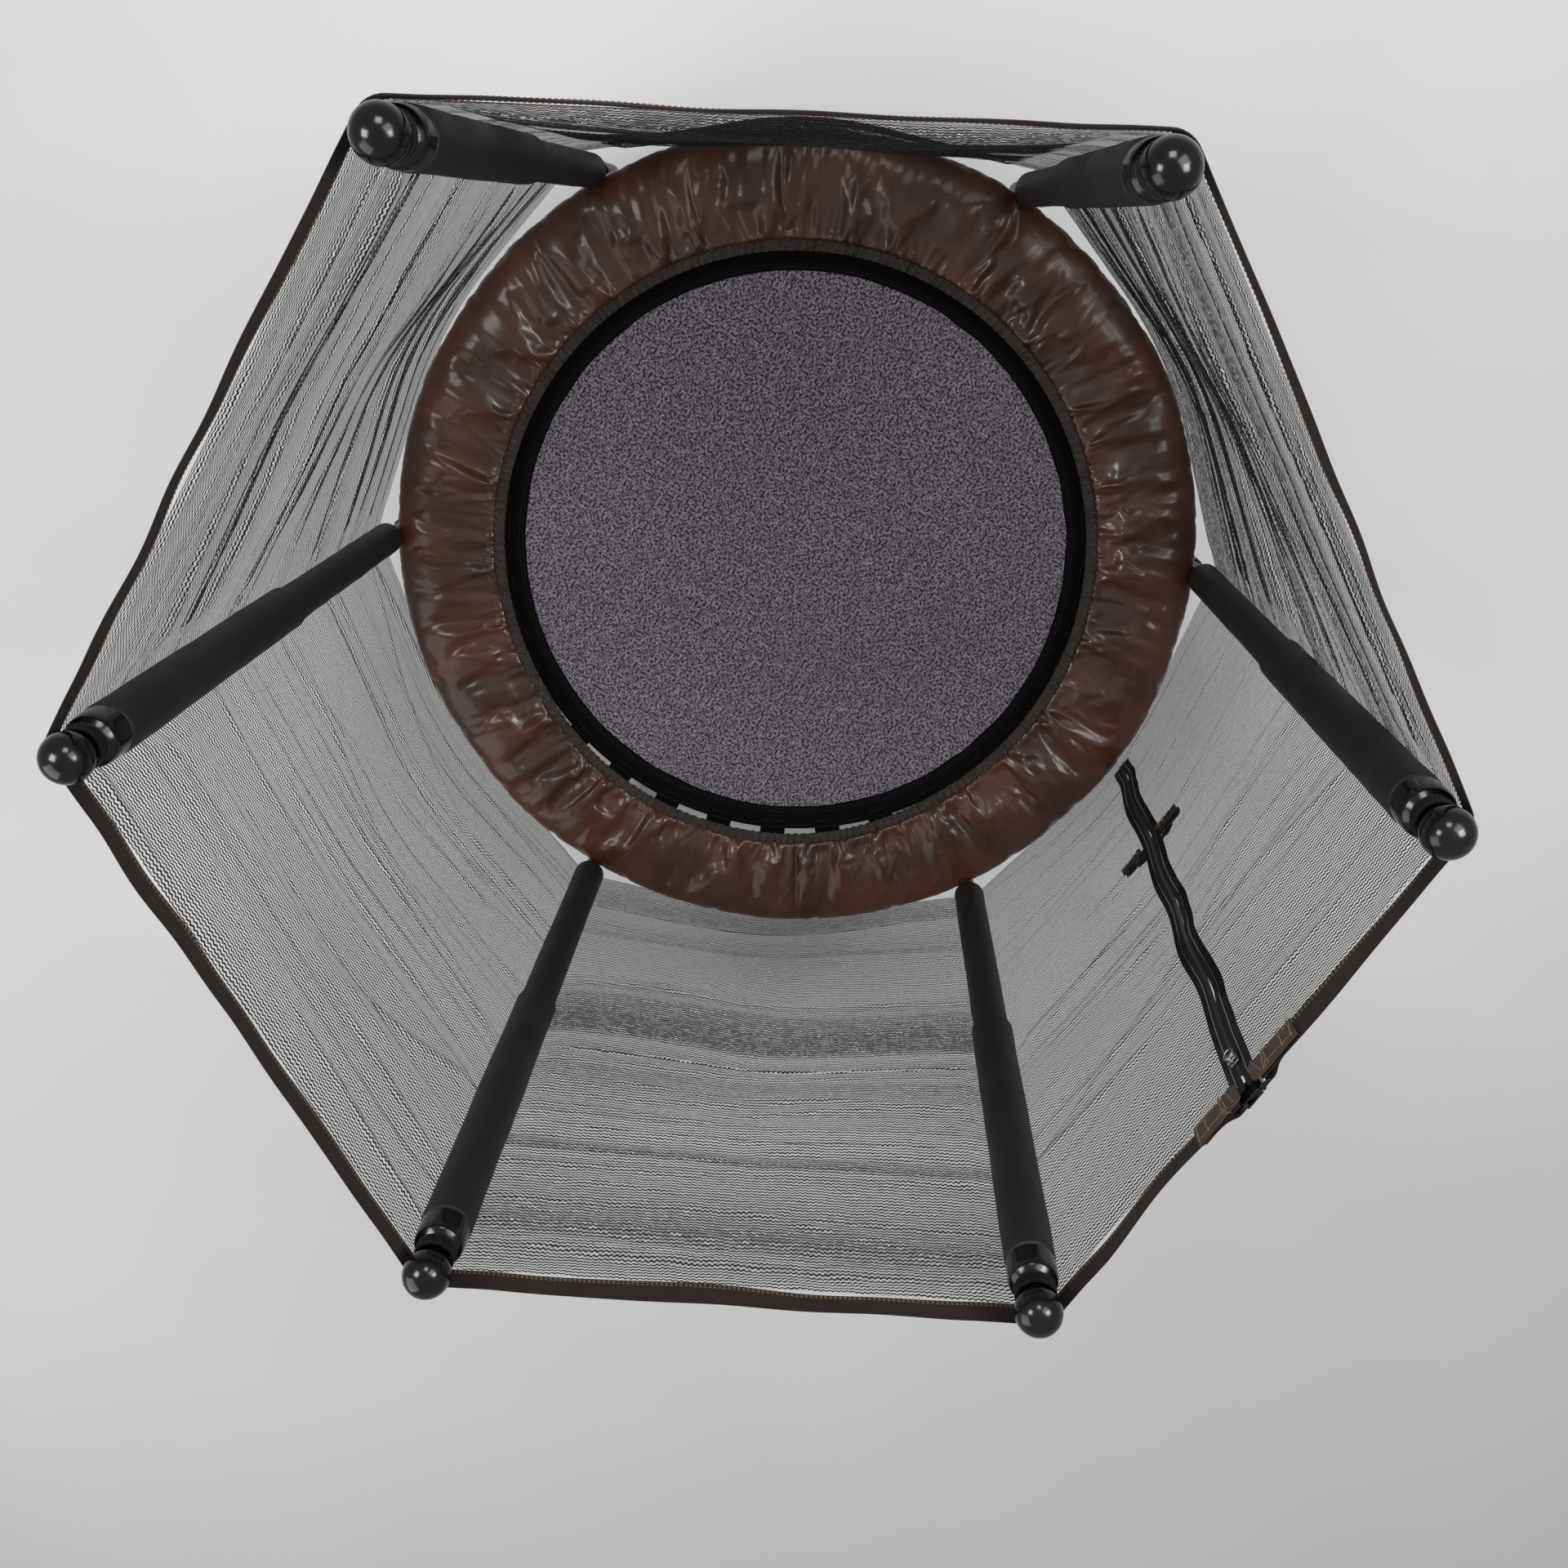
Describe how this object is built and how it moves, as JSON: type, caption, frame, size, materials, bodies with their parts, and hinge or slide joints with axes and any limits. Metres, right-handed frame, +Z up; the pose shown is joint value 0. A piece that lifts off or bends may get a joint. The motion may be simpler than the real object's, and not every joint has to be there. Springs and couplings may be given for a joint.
{
  "type": "mini trampoline with safety enclosure",
  "caption": "Round child's trampoline on short legs with a padded brown rim, foam-sleeved poles with ball caps and a dark mesh enclosure with a zipped, buckled door",
  "frame": {"origin": "on the floor under the middle of the jumping bed", "axes": "+Z up, the zipped door panel faces -Y, poles every 60 degrees from +X"},
  "size_m": [1.496, 1.4122, 1.5415],
  "materials": {
    "frame": "satin black powder coat on steel tube",
    "foot_rubber": "matte black moulded rubber",
    "foam_sleeve": "matte charcoal vinyl skin over soft foam tube",
    "ball_cap": "polished black moulded plastic",
    "bed_mesh": "grey-violet woven polypropylene mesh",
    "webbing": "dense black webbing, stitched",
    "spring": "zinc plated spring wire",
    "rim_vinyl": "glossy brown PVC sheet gathered over foam",
    "net_mesh": "knitted black polyester net",
    "hem": "dark brown binding with tan stitching",
    "zip_tape": "black woven zip tape with nylon coil",
    "zip_slider": "black painted die casting",
    "zip_pull": "steel wire ring",
    "buckle": "black moulded acetal"
  },
  "bodies": {
    "trampoline": {"frame_section_1": "frame", "frame_section_2": "frame", "frame_section_3": "frame", "leg_1": "frame", "foot_1": "foot_rubber", "pole_lower_1": "frame", "pole_upper_1": "frame", "foam_sleeve_lower_1": "foam_sleeve", "foam_sleeve_upper_1": "foam_sleeve", "ball_cap_1": "ball_cap", "leg_2": "frame", "foot_2": "foot_rubber", "pole_lower_2": "frame", "pole_upper_2": "frame", "foam_sleeve_lower_2": "foam_sleeve", "foam_sleeve_upper_2": "foam_sleeve", "ball_cap_2": "ball_cap", "leg_3": "frame", "foot_3": "foot_rubber", "pole_lower_3": "frame", "pole_upper_3": "frame", "foam_sleeve_lower_3": "foam_sleeve", "foam_sleeve_upper_3": "foam_sleeve", "ball_cap_3": "ball_cap", "leg_4": "frame", "foot_4": "foot_rubber", "pole_lower_4": "frame", "pole_upper_4": "frame", "foam_sleeve_lower_4": "foam_sleeve", "foam_sleeve_upper_4": "foam_sleeve", "ball_cap_4": "ball_cap", "leg_5": "frame", "foot_5": "foot_rubber", "pole_lower_5": "frame", "pole_upper_5": "frame", "foam_sleeve_lower_5": "foam_sleeve", "foam_sleeve_upper_5": "foam_sleeve", "ball_cap_5": "ball_cap", "leg_6": "frame", "foot_6": "foot_rubber", "pole_lower_6": "frame", "pole_upper_6": "frame", "foam_sleeve_lower_6": "foam_sleeve", "foam_sleeve_upper_6": "foam_sleeve", "ball_cap_6": "ball_cap", "spring_set": "spring", "rim_pad": "rim_vinyl", "enclosure_net": "net_mesh", "net_hem": "hem", "zip_tape": "zip_tape", "buckle_socket_upper": "buckle", "buckle_socket_lower": "buckle"},
    "bed": {"jumping_bed": "bed_mesh", "bed_border": "webbing"},
    "slider": {"zip_slider": "zip_slider"},
    "pull": {"zip_pull": "zip_pull"},
    "plug_upper": {"buckle_plug_upper": "buckle"},
    "plug_lower": {"buckle_plug_lower": "buckle"}
  },
  "joints": [
    {"name": "bed_bounce", "type": "slide", "parent": "trampoline", "child": "bed", "axis": [0, 0, 1], "range_m": [-0.12, 0.015], "stiffness_N_per_m": 3300},
    {"name": "zip_slide", "type": "slide", "parent": "trampoline", "child": "slider", "axis": [0, -0.0478, -0.9989], "range_m": [0, 1.08]},
    {"name": "zip_pull_swing", "type": "hinge", "parent": "slider", "child": "pull", "pos_m": [0, -0.63953, 1.42447], "axis": [1, 0, 0], "range_deg": [0, 150]},
    {"name": "buckle_release_upper", "type": "slide", "parent": "trampoline", "child": "plug_upper", "axis": [1, 0, 0], "range_m": [0, 0.03]},
    {"name": "buckle_release_lower", "type": "slide", "parent": "trampoline", "child": "plug_lower", "axis": [1, 0, 0], "range_m": [0, 0.03]}
  ]
}
